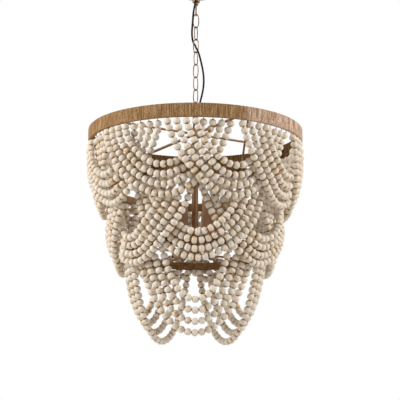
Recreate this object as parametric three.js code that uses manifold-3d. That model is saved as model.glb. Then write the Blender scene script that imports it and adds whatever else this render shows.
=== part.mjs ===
// A beaded chandelier: a ceiling canopy, a chain, and a welded frame of three rings hung with
// draped strings of wooden beads. Millimetres, +Z up, -Y towards the viewer.
// The origin is on the ceiling plane, on the axis of the chain.
import * as THREE from "three";
import { mergeVertices } from "three/addons/utils/BufferGeometryUtils.js";
import Module from "manifold-3d";

const wasm = await Module();
wasm.setup();

// The whole object
const ringDrop = 360; // ceiling to the top edge of the wrapped ring
const clearance = 0.3; // gap that touching pieces keep
const overrun = 2; // how far a cutting tool runs past what it cuts
const spokeCount = 4;
const spokeTurn = 31; // degrees from +X to the first spoke
const lampCount = spokeCount;

// Wrapped top ring
const topRingRadius = 254;
const topRingHeight = 33;
const topBandWall = 2.4;
const juteWall = 2.5;
const juteSlit = 7.2; // opening in the wrap's inner face, where the spokes reach the band
const slitDrop = 3.4; // wrap's top edge to the slit
const topRingSegments = 40;

// Middle and bottom rings
const middleRingInset = 51; // the wrapped ring's radius to this ring's
const middleRingHeight = 20;
const middleRingDrop = 131; // top edge of the wrapped ring to this ring's top edge
const middleRingSegments = 36;
const bottomRingInset = 39; // the middle ring's radius to this ring's
const bottomRingHeight = 18;
const bottomRingDrop = 287;
const bottomRingSegments = 32;
const bandWall = 2.5;

// Beads and their strings
const beadDiameter = 16;
const beadGap = 0.5; // under a ring's lower edge
const beadSides = 5;
const tubeTolerance = 3; // how far a straight stretch of the plain tube may leave its curve
const cordThickness = 2; // the string that threads the beads
const turnRise = 4; // how high the string turns up behind a ring
const turnGrip = 4.5; // how deep it starts inside the last bead
const crossing = 18; // between the axes of two strings where they cross
const crossRamp = 18; // depth over which a string moves out to its crossing radius
const innerStart = 6.2; // how far inside the band the inner strings leave the ring
const crossEaseShare = 0.2; // of the half span, over which it moves back again
const crossStartShare = 0.16;
const crossStepShare = 0.045;
const bulgePeakShare = 0.186;

// Each tier: the first swag's centre in degrees, half spans as shares of the pitch, the sag of the
// first string and the step to the next, how far the drape leans in at its lowest point and by what
// power of the depth, which side lies outside, and how far outside near the ring and further down.
const upperTier = {
  name: "upper_swag",
  swags: 9,
  firstCentre: 22.5,
  spanShares: [0.5625, 0.6875, 0.8125, 0.9375],
  sag: 103.5,
  sagStep: 21.5,
  lean: 30,
  leanPower: 2.8,
  outerSide: -1,
  bulgeShare: 0.04,
  liftNear: 2.5,
  liftFar: 2.5,
};
const middleTier = {
  name: "middle_swag",
  swags: 7,
  firstCentre: 2,
  spanShares: [0.5625, 0.6875, 0.8125, 0.9375],
  sag: 132,
  sagStep: 18.5,
  lean: 27,
  leanPower: 2.8,
  outerSide: 1,
  bulgeShare: 0.08,
  liftNear: 0,
  liftFar: 6,
};
const lowerTier = {
  name: "lower_swag",
  swags: 3,
  firstCentre: 1,
  spanShares: [0.2375, 0.3125, 0.3875, 0.4625],
  sag: 123,
  sagStep: 22.7,
};
const liftStart = 55; // depth at which the outer side starts to change its lift
const liftRamp = 50;
const bendSamples = 160;
const searchReach = 30; // how far from the half span the search for a catenary's constant goes
const searchRounds = 60;

// Ceiling fittings
const strapLength = 104;
const strapWidth = 22;
const strapThickness = 2.5;
const strapRoundSides = 5; // facets of a quarter turn at its ends and slots
const slotLength = 20;
const slotWidth = 4.6;
const slotInset = 16; // strap's end to a slot's middle
const canopyMargin = 11; // strap's end to the cover's edge
const canopyDepth = 26;
const canopyWall = 1.4;
const canopyLipInset = 3; // cover's edge to where the rim's roll ends
const canopyLipDepth = 2.8;
const canopyShoulderInset = 17;
const canopyShoulderDepth = 18.7;
const canopyNeck = 21;
const canopySides = 28;
const nippleRadius = 5;
const nippleBore = 3.2;
const nippleStandout = 5; // above the strap, into the ceiling box
const fittingSides = 16;
const smallSides = 12; // of the thin necks, the gland and the bush
const nutFlats = 17;
const nutThickness = 5;
const collarRadius = 9;
const collarHeight = 12.4;
const collarGroove = 0.8;
const loopWire = 3.6;
const loopWidth = 18;
const loopNeckRadius = 5.4;
const loopNeckHeight = 5.6;

// Chain
const linkCount = 8;
const linkLength = 36.6;
const linkWidth = 15.5;
const linkWire = 2.5;
const linkTurns = [0, 57, -26, 49, -31, 40, -38, 48]; // degrees about the chain's axis
const canopyLoopTurn = 90;
const topLoopTurn = -42;
const linkSteps = 12;
const linkSides = 6;
const canopyLoopLength = 31;
const topLoopLength = 30;

// Hub, spokes and stem
const hubRadius = 14;
const hubHeight = 18;
const hubRise = 13; // spokes' axis to the hub's top
const hubChamfer = 2.4;
const spokeWidth = 9; // flat bar
const spokeThickness = 3.4;
const stemRadius = 7.5;
const stemWall = 1.6;
const stemSides = 16;
const ribDiameter = 5;
const ribSides = 6;
const ribInset = 18; // the wrapped ring's radius to where a rib leaves its spoke
const ribContact = 14; // height over which a rib lies on the middle ring
const lowerHubRadius = 12;
const lowerHubHeight = 12;
const finialRadius = 10;
const finialHeight = 17;
const finialNeck = 4;
const finialTipShare = 0.94; // of the height, from the top
const finialNeckShare = 0.12;
const finialBallShares = [[0.82, 0.72], [1, 0.5], [0.82, 0.28]]; // of its radius and height

// Lamps
const lampRadius = 60; // axis of the chandelier to a lamp's axis
const armDrop = 272; // top edge of the wrapped ring to the arms' axis
const armDiameter = 8;
const armSides = 6;
const armHubRadius = 15;
const armHubHeight = 16;
const cupRadius = 18;
const cupHeight = 5;
const cupRim = 1.6;
const cupWall = 1.5;
const sleeveRadius = 14.5;
const sleeveWall = 1.2;
const sleeveHeight = 90;
const socketRadius = 11.5;
const socketBore = 6.2;
const socketBoreDepth = 25;
const socketBodyHeight = 42;
const socketRecess = 3; // below the sleeve's top edge
const socketStemRadius = 5;
const lampSides = 12;

// Lamp leads
const leadDiameter = 2.2;
const leadSides = 5;
const leadSteps = 7;
const leadCollarDrop = 124; // top edge of the wrapped ring to the leads' collar
const leadCollarHeight = 12;
const leadCollarWall = 2.6;
const leadReach = { start: 9, shoulder: 17, bend: 29, knee: 42, tip: 49 };
const leadFall = { start: 6, shoulder: 8, bend: 17, knee: 31, tip: 42 };

// Supply cord, from the gland under the canopy, through the third link, to the bush on the hub
const cordDiameter = 4.6;
const cordSides = 8;
const cordSteps = 34;
const glandRadius = 4.6;
const glandTipRadius = 3.2;
const glandHeight = 6;
const glandPlace = [-2, -15];
const bushRadius = 3.2;
const bushHeight = 6;
const bushPlace = [-3, -9];
const cordRoute = [
  [-2, -15, -32.5],
  [-2, -15, -40],
  [-3.2, -14.4, -50],
  [-5.4, -12, -62],
  [-7, -8.8, -74],
  [-7.8, -6.4, -86],
  [-8.8, -5.4, -99],
  [-9.6, -2.6, -112],
  [-9.2, 2.2, -124],
  [-7.8, 6, -132.5],
  [-5.6, 7.2, -139],
  [-1.7, 5.6, -145],
  [-0.4, 1, -150.6],
  [1.1, -3.4, -155.6],
  [3.6, -6.4, -160.6],
  [6.2, -7.8, -167],
  [9, -7.8, -176],
  [13.4, -6.6, -193.8],
  [17.3, -5.5, -213],
  [19.2, -5, -233],
  [18.4, -5.2, -253],
  [15.6, -6.4, -270],
  [12, -8, -286],
  [7.6, -10, -304],
  [3, -11.2, -320],
  [-0.8, -10.9, -332],
  [-2.8, -9.5, -340],
  [-3, -9, -347.4],
];

const turn = THREE.MathUtils.degToRad;

// What follows from the sizes above
const middleRingRadius = topRingRadius - middleRingInset;
const bottomRingRadius = middleRingRadius - bottomRingInset;
const ribStart = topRingRadius - ribInset;
const slotCentre = strapLength / 2 - slotInset;
const canopyRadius = strapLength / 2 + canopyMargin;
const canopyLip = canopyRadius - canopyLipInset;
const canopyShoulder = canopyRadius - canopyShoulderInset;
const ringTop = -ringDrop;
const topRingBottom = ringTop - topRingHeight;
const middleRingTop = ringTop - middleRingDrop;
const middleRingBottom = middleRingTop - middleRingHeight;
const bottomRingTop = ringTop - bottomRingDrop;
const bottomRingBottom = bottomRingTop - bottomRingHeight;
const juteInner = topRingRadius - 2 * (juteWall + clearance) - topBandWall;
const slitTop = ringTop - slitDrop;
const spokeHeight = slitTop - juteSlit / 2;
const hubTop = spokeHeight + hubRise;
const beadRadius = beadDiameter / 2;
const linkPitch = linkLength - 2 * linkWire - clearance;
const collarTop = -canopyDepth - clearance;
const neckTop = collarTop - collarHeight - clearance;
const canopyLoopTop = neckTop - loopNeckHeight;
const canopyLoopCentre = canopyLoopTop - canopyLoopLength / 2 + loopWire / 2;
const firstLinkCentre =
  canopyLoopCentre - canopyLoopLength / 2 + loopWire + clearance + linkWire - linkLength / 2;
const lastLinkCentre = firstLinkCentre - (linkCount - 1) * linkPitch;
const topLoopCentre =
  lastLinkCentre - linkLength / 2 + linkWire + clearance + loopWire - topLoopLength / 2;
const topNeckTop = topLoopCentre - topLoopLength / 2 + loopWire / 2;

// The radius of the flats of a round face made of this many segments
function flatRadius(radius, segments) {
  return radius * Math.cos(Math.PI / segments);
}

function solidOf(geometry) {
  const bare = geometry.clone();
  bare.deleteAttribute("normal");
  bare.deleteAttribute("uv");
  const merged = mergeVertices(bare);
  return new wasm.Manifold(
    new wasm.Mesh({
      numProp: 3,
      vertProperties: merged.attributes.position.array,
      triVerts: new Uint32Array(merged.index.array),
    }),
  );
}

function geometryOf(solid) {
  const mesh = solid.getMesh();
  const geometry = new THREE.BufferGeometry();
  geometry.setAttribute("position", new THREE.BufferAttribute(mesh.vertProperties, mesh.numProp));
  geometry.setIndex(new THREE.BufferAttribute(mesh.triVerts, 1));
  geometry.computeVertexNormals();
  return geometry;
}

function joined(...geometries) {
  return geometryOf(geometries.map(solidOf).reduce((whole, next) => whole.add(next)));
}

function cut(geometry, ...tools) {
  return geometryOf(tools.map(solidOf).reduce((left, tool) => left.subtract(tool), solidOf(geometry)));
}

// A solid of revolution about Z from radius and height pairs, listed anticlockwise.
function revolved(profile, segments) {
  const points = profile.map(([radius, height]) => new THREE.Vector2(radius, height));
  if (points[0].x > 0) points.push(points[0].clone());
  return new THREE.LatheGeometry(points, segments).rotateX(Math.PI / 2);
}

function hollowRing(inner, outer, low, high, segments) {
  return revolved([[inner, low], [outer, low], [outer, high], [inner, high]], segments);
}

// A ring whose flats, not its corners, face the spokes and ribs
function facingRing(ring, segments) {
  return ring.rotateZ(turn(spokeTurn + 180 / segments));
}

function disc(radius, low, high, segments) {
  return revolved([[0, low], [radius, low], [radius, high], [0, high]], segments);
}

// A round bar along X between two distances from the axis
function radialBar(diameter, from, to, sides) {
  return new THREE.CylinderGeometry(diameter / 2, diameter / 2, to - from, sides)
    .rotateZ(Math.PI / 2)
    .translate((from + to) / 2, 0, 0);
}

function tubeAlong(curve, radius, sides, steps) {
  const section = new THREE.Shape();
  for (let side = 0; side < sides; side += 1) {
    const angle = ((side + 0.5) * 2 * Math.PI) / sides;
    const corner = [radius * Math.cos(angle), radius * Math.sin(angle)];
    if (side === 0) section.moveTo(...corner);
    else section.lineTo(...corner);
  }
  section.closePath();
  return new THREE.ExtrudeGeometry(section, { steps, extrudePath: curve, bevelEnabled: false });
}

// An oval wire loop in the XZ plane: a torus whose halves are drawn apart until its legs are straight
function ovalLoop(length, width, wire, steps, sides) {
  const bend = (width - wire) / 2;
  const draw = (length - width) / 2;
  const loop = new THREE.TorusGeometry(bend, wire / 2, sides, steps);
  loop.rotateZ(Math.PI / steps).rotateX(Math.PI / 2);
  const places = loop.attributes.position;
  for (let i = 0; i < places.count; i += 1) {
    const ring = i % (steps + 1);
    const angle = ((ring + 0.5) * 2 * Math.PI) / steps;
    places.setZ(i, places.getZ(i) + Math.sign(Math.sin(angle)) * draw);
  }
  return loop;
}

function turned(geometry, degrees) {
  return geometry.rotateZ(turn(degrees));
}

// The constant of a catenary that spans two halves and sags by this much, by halving
function catenaryConstant(half, sag) {
  let low = half / searchReach;
  let high = half * searchReach;
  for (let round = 0; round < searchRounds; round += 1) {
    const middle = (low + high) / 2;
    if (middle * (Math.cosh(half / middle) - 1) > sag) low = middle;
    else high = middle;
  }
  return (low + high) / 2;
}

function eased(value) {
  const x = THREE.MathUtils.clamp(value, 0, 1);
  return x * x * (3 - 2 * x);
}

// One string of beads. In the upper tiers it is a catenary drawn on the drape, a surface of
// revolution that leans in with depth, and one side lies outside its neighbour and one inside.
// In the lowest tier it hangs in the flat plane through its two ends.
class StringCurve extends THREE.Curve {
  constructor(tier, swag, order) {
    super();
    this.tier = tier;
    this.order = order;
    this.pitch = 360 / tier.swags;
    this.centre = turn(tier.firstCentre + swag * this.pitch);
    this.halfAngle = turn(tier.spanShares[order] * this.pitch);
    this.sag = tier.sag + order * tier.sagStep;
    this.deepest = tier.sag + (tier.spanShares.length - 1) * tier.sagStep;
    this.half = tier.outerSide
      ? tier.radius * this.halfAngle
      : tier.radius * Math.sin(this.halfAngle);
    this.constant = catenaryConstant(this.half, this.sag);
    this.topDepth = beadGap + beadRadius / Math.cosh(this.half / this.constant);
    const rise = 1 + (this.sag - this.topDepth) / this.constant;
    this.reach = this.constant * Math.sqrt(rise * rise - 1);
  }

  getPoint(t, target = new THREE.Vector3()) {
    const { tier, constant, sag, half, centre } = this;
    const along = (2 * t - 1) * this.reach;
    const across = constant * Math.asinh(along / constant);
    const depth = sag - constant * (Math.cosh(across / constant) - 1);
    const height = tier.top - depth;
    if (!tier.outerSide) {
      const back = tier.radius * Math.cos(this.halfAngle);
      return target
        .set(across, -back, height)
        .applyAxisAngle(new THREE.Vector3(0, 0, 1), centre);
    }
    const share = across / half;
    const outer = share * tier.outerSide > 0;
    const spread = share + (tier.bulgeShare * share ** 3 * (1 - share ** 2)) / bulgePeakShare;
    const angle = centre + this.halfAngle * spread;
    const start = crossStartShare + crossStepShare * this.order;
    const moved = eased((Math.abs(share) - start) / crossEaseShare);
    const lift = THREE.MathUtils.lerp(
      tier.liftNear,
      tier.liftFar,
      eased((depth - liftStart) / liftRamp),
    );
    const lean = tier.lean * (depth / this.deepest) ** tier.leanPower;
    const offset = THREE.MathUtils.lerp(
      outer ? 0 : -tier.startInside,
      outer ? lift : lift - crossing,
      eased((depth - this.topDepth) / crossRamp),
    );
    const radius = tier.radius - lean + moved * offset;
    return target.set(radius * Math.sin(angle), -radius * Math.cos(angle), height);
  }

  // The sections of the plain tube stand closer together where the string bends more.
  measureBends() {
    const points = this.getPoints(bendSamples);
    this.bends = [0, 0];
    for (let i = 2; i < points.length; i += 1) {
      const before = points[i - 1].clone().sub(points[i - 2]);
      const after = points[i].clone().sub(points[i - 1]);
      const bend = Math.sqrt(before.angleTo(after) * after.length());
      this.bends.push(this.bends[i - 1] + bend);
    }
    this.bends.push(this.bends[points.length - 1]);
    return Math.ceil(this.bends[points.length] / Math.sqrt(8 * tubeTolerance));
  }

  getUtoTmapping(u) {
    const wanted = u * this.bends[this.bends.length - 1];
    const next = this.bends.findIndex((bend) => bend > wanted);
    if (next < 0) return 1;
    if (u === 0) return 0;
    const before = this.bends[next - 1];
    const part = (wanted - before) / (this.bends[next] - before);
    return Math.min(1, Math.max(0, (next - 1.5 + part) / bendSamples));
  }

  // Frames that keep one flat of the section facing away from the chandelier's axis
  computeFrenetFrames(steps) {
    const frames = { tangents: [], normals: [], binormals: [] };
    for (let i = 0; i <= steps; i += 1) {
      const tangent = this.getTangentAt(i / steps);
      const outward = this.getPointAt(i / steps).setZ(0).normalize();
      outward.addScaledVector(tangent, -outward.dot(tangent)).normalize();
      frames.tangents.push(tangent);
      frames.normals.push(outward);
      frames.binormals.push(new THREE.Vector3().crossVectors(tangent, outward));
    }
    return frames;
  }
}

// The string turns up behind the ring from the end of one row of beads to the end of the next.
function stringTurn(tier, fromAngle, toAngle, topDepth) {
  const middle = (fromAngle + toAngle) / 2;
  const halfWidth = tier.turnRadius * Math.abs(Math.sin((toAngle - fromAngle) / 2));
  const foot = -topDepth - turnGrip;
  const outer = halfWidth + cordThickness / 2;
  const inner = halfWidth - cordThickness / 2;
  const arch = new THREE.Shape();
  arch.moveTo(-outer, foot);
  arch.lineTo(-inner, foot);
  arch.lineTo(-inner, turnRise - cordThickness);
  arch.lineTo(inner, turnRise - cordThickness);
  arch.lineTo(inner, foot);
  arch.lineTo(outer, foot);
  arch.lineTo(outer, turnRise);
  arch.lineTo(-outer, turnRise);
  arch.closePath();
  return new THREE.ExtrudeGeometry(arch, { depth: cordThickness, bevelEnabled: false })
    .rotateX(Math.PI / 2)
    .translate(0, cordThickness / 2 - tier.turnRadius, tier.top)
    .rotateZ(middle);
}

// A swag is one long string of beads, hung in rows that alternate in direction.
function swagGeometry(tier, swag) {
  const pieces = [];
  const rows = tier.spanShares.map((share, order) => new StringCurve(tier, swag, order));
  rows.forEach((row, order) => {
    pieces.push(tubeAlong(row, beadRadius, beadSides, row.measureBends()));
    const next = rows[order + 1];
    if (!next) return;
    const side = order % 2 ? -1 : 1;
    const from = row.centre + side * row.halfAngle;
    const to = next.centre + side * next.halfAngle;
    pieces.push(stringTurn(tier, from, to, Math.max(row.topDepth, next.topDepth)));
  });
  return joined(...pieces);
}

function wrappedBand() {
  const outer = topRingRadius;
  const wallOut = outer - juteWall;
  const wallIn = juteInner + juteWall;
  const low = topRingBottom;
  const high = ringTop;
  const slitLow = slitTop - juteSlit;
  return revolved(
    [
      [juteInner, low],
      [outer, low],
      [outer, high],
      [juteInner, high],
      [juteInner, slitTop],
      [wallIn, slitTop],
      [wallIn, high - juteWall],
      [wallOut, high - juteWall],
      [wallOut, low + juteWall],
      [wallIn, low + juteWall],
      [wallIn, slitLow],
      [juteInner, slitLow],
    ],
    topRingSegments,
  );
}

function mountingStrap() {
  const round = strapWidth / 2;
  const straight = strapLength / 2 - round;
  const outline = new THREE.Shape();
  outline.moveTo(-straight, -round);
  outline.lineTo(straight, -round);
  outline.absarc(straight, 0, round, -Math.PI / 2, Math.PI / 2);
  outline.lineTo(-straight, round);
  outline.absarc(-straight, 0, round, Math.PI / 2, (3 * Math.PI) / 2);
  for (const side of [-1, 1]) {
    const slot = new THREE.Path();
    const end = (slotLength - slotWidth) / 2;
    slot.moveTo(side * slotCentre - end, -slotWidth / 2);
    slot.lineTo(side * slotCentre + end, -slotWidth / 2);
    slot.absarc(side * slotCentre + end, 0, slotWidth / 2, -Math.PI / 2, Math.PI / 2);
    slot.lineTo(side * slotCentre - end, slotWidth / 2);
    slot.absarc(side * slotCentre - end, 0, slotWidth / 2, Math.PI / 2, (3 * Math.PI) / 2);
    outline.holes.push(slot);
  }
  const hole = new THREE.Path();
  hole.absarc(0, 0, nippleRadius + clearance, 0, 2 * Math.PI);
  outline.holes.push(hole);
  return new THREE.ExtrudeGeometry(outline, {
    depth: strapThickness,
    bevelEnabled: false,
    curveSegments: strapRoundSides,
  }).translate(0, 0, -strapThickness);
}

// A low dome: its skins have one outline, a wall apart, and they meet in the rim's roll.
function canopyCover() {
  const skin = (inset) => [
    [nippleRadius + clearance, inset - canopyDepth],
    [canopyNeck - inset, inset - canopyDepth],
    [canopyShoulder - inset, inset - canopyShoulderDepth],
  ];
  const rim = [
    [canopyLip, -canopyLipDepth],
    [canopyRadius, -canopyWall],
    [canopyRadius, 0],
    [canopyLip - canopyWall, 0],
  ];
  const shell = revolved([...skin(0), ...rim, ...skin(canopyWall).reverse()], canopySides);
  const outletRadius = glandTipRadius + clearance;
  const outlet = disc(outletRadius, -canopyDepth - overrun, overrun - canopyDepth, smallSides);
  return cut(shell, outlet.translate(...glandPlace, 0));
}

function gland() {
  const top = canopyWall - canopyDepth;
  const under = -canopyDepth - clearance;
  return revolved(
    [
      [0, under - glandHeight],
      [glandTipRadius - clearance, under - glandHeight],
      [glandRadius, under],
      [glandTipRadius, under],
      [glandTipRadius, top],
      [0, top],
    ],
    smallSides,
  ).translate(...glandPlace, 0);
}

function nipple() {
  return hollowRing(nippleBore, nippleRadius, neckTop + clearance, nippleStandout, fittingSides);
}

// The hexagon's bore is cut round, so the nut keeps its flats and the nipple its fit.
function lockNut() {
  const top = -strapThickness - clearance;
  const blank = disc(nutFlats / 2 / Math.cos(Math.PI / 6), top - nutThickness, top, 6);
  const boreRadius = nippleRadius + clearance;
  const bore = disc(boreRadius, top - nutThickness - overrun, top + overrun, fittingSides);
  return cut(blank, bore);
}

function collarNut() {
  const bore = nippleRadius + clearance;
  const low = collarTop - collarHeight;
  const third = collarHeight / 3;
  return revolved(
    [
      [bore, low],
      [collarRadius - collarGroove, low],
      [collarRadius, low + collarGroove],
      [collarRadius, low + third],
      [collarRadius - collarGroove, low + third + collarGroove],
      [collarRadius - collarGroove, collarTop - third - collarGroove],
      [collarRadius, collarTop - third],
      [collarRadius, collarTop],
      [bore, collarTop],
    ],
    fittingSides,
  );
}

// A wire loop whose top or bottom stands in a turned neck
function neckedLoop(length, centre, neckLow, neckHigh, degrees) {
  const loop = ovalLoop(length, loopWidth, loopWire, linkSteps, linkSides).translate(0, 0, centre);
  return turned(joined(loop, disc(loopNeckRadius, neckLow, neckHigh, smallSides)), degrees);
}

function linkGeometry(number) {
  return turned(ovalLoop(linkLength, linkWidth, linkWire, linkSteps, linkSides), linkTurns[number])
    .translate(0, 0, firstLinkCentre - number * linkPitch);
}

// A turned hub with flat bars that run out from its axis at one height
function spider(radius, low, high, barHeight, reach) {
  const hub = revolved(
    [
      [0, low],
      [radius - hubChamfer, low],
      [radius, low + hubChamfer],
      [radius, high - hubChamfer],
      [radius - hubChamfer, high],
      [0, high],
    ],
    stemSides,
  );
  const bars = [];
  for (let spoke = 0; spoke < spokeCount; spoke += 1) {
    const bar = new THREE.BoxGeometry(reach, spokeWidth, spokeThickness)
      .translate(reach / 2, 0, barHeight);
    bars.push(turned(bar, spokeTurn + (360 / spokeCount) * spoke));
  }
  return joined(hub, ...bars);
}

// A rib drops from the underside of a spoke and ends in a foot against the middle ring's outer face.
function rib(number) {
  const footRadius = flatRadius(middleRingRadius, middleRingSegments) + clearance + ribDiameter / 2;
  const knee = middleRingTop + ribDiameter;
  const slope = Math.atan2(ribStart - footRadius, middleRingDrop);
  const start = spokeHeight - spokeThickness / 2 - clearance - (ribDiameter / 2) * Math.sin(slope);
  const slant = new THREE.LineCurve3(
    new THREE.Vector3(ribStart, 0, start),
    new THREE.Vector3(footRadius, 0, knee),
  );
  const footLength = knee + ribDiameter / 2 - middleRingTop + ribContact;
  const foot = new THREE.CylinderGeometry(ribDiameter / 2, ribDiameter / 2, footLength, ribSides)
    .rotateX(Math.PI / 2)
    .translate(footRadius, 0, middleRingTop - ribContact + footLength / 2);
  return turned(
    joined(tubeAlong(slant, ribDiameter / 2, ribSides, 1), foot),
    spokeTurn + (360 / spokeCount) * number,
  );
}

function stem() {
  const top = hubTop - hubHeight - clearance;
  const low = bottomRingTop - bottomRingHeight / 2 + lowerHubHeight / 2 + clearance;
  return hollowRing(stemRadius - stemWall, stemRadius, low, top, stemSides);
}

const armHeight = ringTop - armDrop;
const cupFloor = armHeight + armDiameter / 2;
const sleeveFoot = cupFloor + cupWall + clearance;

// The lamp arms: a hub that slides over the stem, four bars, and a cup on the end of each
function lampArms() {
  const low = armHeight - armHubHeight / 2;
  const high = armHeight + armHubHeight / 2;
  const bore = disc(stemRadius + clearance, low - overrun, high + overrun, stemSides);
  const pieces = [disc(armHubRadius, low, high, stemSides)];
  for (let lamp = 0; lamp < lampCount; lamp += 1) {
    const degrees = spokeTurn + (360 / lampCount) * lamp;
    const bar = radialBar(armDiameter, (stemRadius + armHubRadius) / 2, lampRadius, armSides);
    pieces.push(turned(bar.translate(0, 0, armHeight), degrees));
    const cup = revolved(
      [
        [0, armHeight],
        [armDiameter / 2, armHeight],
        [cupRadius - cupRim, cupFloor],
        [cupRadius, cupFloor + cupHeight],
        [cupRadius - cupRim, cupFloor + cupHeight],
        [cupRadius - 2 * cupRim, cupFloor + cupWall],
        [0, cupFloor + cupWall],
      ],
      lampSides,
    );
    pieces.push(turned(cup.translate(lampRadius, 0, 0), degrees));
  }
  return cut(joined(...pieces), bore);
}

function candleSleeve() {
  return hollowRing(
    sleeveRadius - sleeveWall,
    sleeveRadius,
    sleeveFoot,
    sleeveFoot + sleeveHeight,
    lampSides,
  );
}

const socketTop = sleeveFoot + sleeveHeight - socketRecess;

function lampSocket() {
  const body = socketTop - socketBodyHeight;
  return revolved(
    [
      [0, sleeveFoot],
      [socketStemRadius, sleeveFoot],
      [socketStemRadius, body],
      [socketRadius, body],
      [socketRadius, socketTop],
      [socketBore, socketTop],
      [socketBore, socketTop - socketBoreDepth],
      [0, socketTop - socketBoreDepth],
    ],
    lampSides,
  );
}

function finial() {
  const top = bottomRingTop - bottomRingHeight / 2 - lowerHubHeight / 2 - clearance;
  const ball = finialBallShares.map(([out, down]) => [out * finialRadius, top - down * finialHeight]);
  return revolved(
    [
      [0, top - finialHeight],
      [finialNeck, top - finialTipShare * finialHeight],
      ...ball,
      [finialNeck, top - finialNeckShare * finialHeight],
      [finialNeck, top],
      [0, top],
    ],
    fittingSides,
  );
}

// The leads leave a collar on the stem and drop to the rims of the four sockets.
function lampLeads() {
  const top = ringTop - leadCollarDrop;
  const inner = stemRadius + clearance;
  const collar = hollowRing(inner, inner + leadCollarWall, top - leadCollarHeight, top, stemSides);
  const rim = lampRadius - (socketRadius + socketBore) / 2;
  const leads = [];
  for (let lamp = 0; lamp < lampCount; lamp += 1) {
    const places = Object.keys(leadReach).map(
      (name) => new THREE.Vector3(leadReach[name], 0, top - leadFall[name]),
    );
    places.push(new THREE.Vector3(rim, 0, socketTop + clearance));
    const path = new THREE.CatmullRomCurve3(places, false, "centripetal");
    const lead = tubeAlong(path, leadDiameter / 2, leadSides, leadSteps);
    leads.push(turned(lead, spokeTurn + (360 / lampCount) * lamp));
  }
  return joined(collar, ...leads);
}

function supplyCord() {
  const points = cordRoute.map((place) => new THREE.Vector3(...place));
  const path = new THREE.CatmullRomCurve3(points, false, "centripetal");
  return tubeAlong(path, cordDiameter / 2, cordSides, cordSteps);
}

function cordBush() {
  const low = hubTop + clearance;
  return disc(bushRadius, low, low + bushHeight, smallSides).translate(...bushPlace, 0);
}

const finish = (colour, roughness, metalness) => ({ color: colour, roughness, metalness });
const finishes = {
  weathered: finish(0x8a6a50, 0.55, 0.6),
  brown: finish(0x6b4c36, 0.6, 0.3),
  zinc: finish(0xb8bab8, 0.4, 0.9),
  jute: finish(0xb48a60, 0.95, 0),
  bead: finish(0xd9cbbb, 0.75, 0),
  candle: finish(0xa88468, 0.7, 0),
  black: finish(0x1a1817, 0.6, 0),
};

const chandelier = new THREE.Group();
chandelier.name = "beaded_chandelier";

function add(name, geometry, look) {
  const mesh = new THREE.Mesh(geometry, new THREE.MeshStandardMaterial(finishes[look]));
  mesh.name = name;
  chandelier.add(mesh);
}

add("mounting_strap", mountingStrap(), "zinc");
add("threaded_nipple", nipple(), "zinc");
add("lock_nut", lockNut(), "zinc");
add("canopy_cover", canopyCover(), "weathered");
add("cord_gland", gland(), "black");
add("collar_nut", collarNut(), "weathered");
add(
  "canopy_loop",
  neckedLoop(canopyLoopLength, canopyLoopCentre, canopyLoopTop - loopWire / 2, neckTop, canopyLoopTurn),
  "weathered",
);
for (let link = 0; link < linkCount; link += 1) {
  add(`chain_link_${link + 1}`, linkGeometry(link), "weathered");
}
add(
  "top_loop",
  neckedLoop(topLoopLength, topLoopCentre, hubTop + clearance, topNeckTop + loopWire / 2, topLoopTurn),
  "weathered",
);
add("cord_bush", cordBush(), "black");

const bandInner = flatRadius(juteInner + juteWall + clearance, topRingSegments);
add(
  "top_spider",
  spider(hubRadius, hubTop - hubHeight, hubTop, spokeHeight, bandInner - clearance),
  "brown",
);
add("center_stem", stem(), "brown");
add("lamp_arms", lampArms(), "brown");
for (let lamp = 0; lamp < lampCount; lamp += 1) {
  const degrees = spokeTurn + (360 / lampCount) * lamp;
  const sleeve = turned(candleSleeve().translate(lampRadius, 0, 0), degrees);
  add(`candle_sleeve_${lamp + 1}`, sleeve, "candle");
  const socket = turned(lampSocket().translate(lampRadius, 0, 0), degrees);
  add(`lamp_socket_${lamp + 1}`, socket, "black");
}
add("lamp_leads", lampLeads(), "black");
const lowerMiddle = bottomRingTop - bottomRingHeight / 2;
const lowerReach = flatRadius(bottomRingRadius - bandWall, bottomRingSegments) - clearance;
add(
  "lower_spider",
  spider(
    lowerHubRadius,
    lowerMiddle - lowerHubHeight / 2,
    lowerMiddle + lowerHubHeight / 2,
    lowerMiddle,
    lowerReach,
  ),
  "brown",
);
add("finial", finial(), "brown");
for (let number = 0; number < spokeCount; number += 1) {
  add(`frame_rib_${number + 1}`, rib(number), "brown");
}

const bandOuter = topRingRadius - juteWall - clearance;
const wrapInside = juteWall + clearance;
add(
  "top_ring",
  facingRing(
    hollowRing(
      bandOuter - topBandWall,
      bandOuter,
      topRingBottom + wrapInside,
      ringTop - wrapInside,
      topRingSegments,
    ),
    topRingSegments,
  ),
  "brown",
);
add("jute_wrap", facingRing(wrappedBand(), topRingSegments), "jute");
add(
  "middle_ring",
  facingRing(
    hollowRing(
      middleRingRadius - bandWall,
      middleRingRadius,
      middleRingBottom,
      middleRingTop,
      middleRingSegments,
    ),
    middleRingSegments,
  ),
  "brown",
);
add(
  "bottom_ring",
  facingRing(
    hollowRing(
      bottomRingRadius - bandWall,
      bottomRingRadius,
      bottomRingBottom,
      bottomRingTop,
      bottomRingSegments,
    ),
    bottomRingSegments,
  ),
  "brown",
);

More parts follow.
